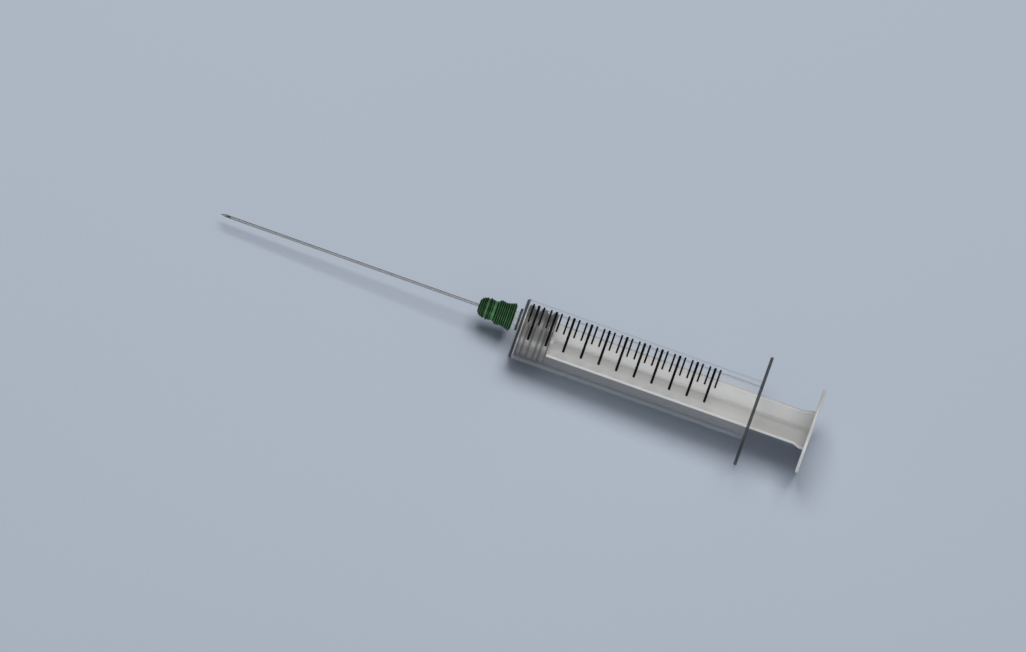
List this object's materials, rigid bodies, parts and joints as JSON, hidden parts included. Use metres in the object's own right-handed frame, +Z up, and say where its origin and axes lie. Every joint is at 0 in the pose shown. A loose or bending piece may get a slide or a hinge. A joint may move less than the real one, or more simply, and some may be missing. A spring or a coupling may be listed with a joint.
{
  "type": "syringe",
  "caption": "Clear disposable syringe, pushed right in: off-centre slip nozzle, ringed green hub with a long needle, rubber stopper, ribbed rod and round thumb rest.",
  "frame": {"origin": "on the table, under the middle of the bounding box of the whole syringe as it lies at rest", "axes": "+X along the syringe from the needle's point to the thumb rest, level with the table; +Y across the finger flange, towards the side the nozzle is off-centre to; +Z up from the table"},
  "size_m": [0.184, 0.0334, 0.0259],
  "materials": {
    "clear_plastic": "clear, glossy",
    "black_ink": "matte printed ink",
    "stopper_rubber": "satin",
    "rod_plastic": "satin",
    "hub_plastic": "satin gloss",
    "needle_steel": "bright drawn steel",
    "adhesive": "clear, glossy"
  },
  "bodies": {
    "barrel_body": {"barrel": "clear_plastic", "scale_marks": "black_ink"},
    "stopper_body": {"stopper": "stopper_rubber"},
    "rod_body": {"plunger_rod": "rod_plastic"},
    "needle_body": {"needle_hub": "hub_plastic", "cannula": "needle_steel", "cannula_adhesive": "adhesive"}
  },
  "joints": [
    {"name": "plunger_slide", "type": "slide", "parent": "barrel_body", "child": "stopper_body", "axis": [0.9989, 0, 0.0459], "range_m": [0, 0.0596]},
    {"name": "rod_spin", "type": "hinge", "parent": "stopper_body", "child": "rod_body", "pos_m": [0.01075, 0, 0.00952], "axis": [0.9989, 0, 0.0459], "continuous": true},
    {"name": "needle_pull", "type": "slide", "parent": "barrel_body", "child": "needle_body", "axis": [-0.9989, 0, -0.0459], "range_m": [0, 0.012]}
  ]
}
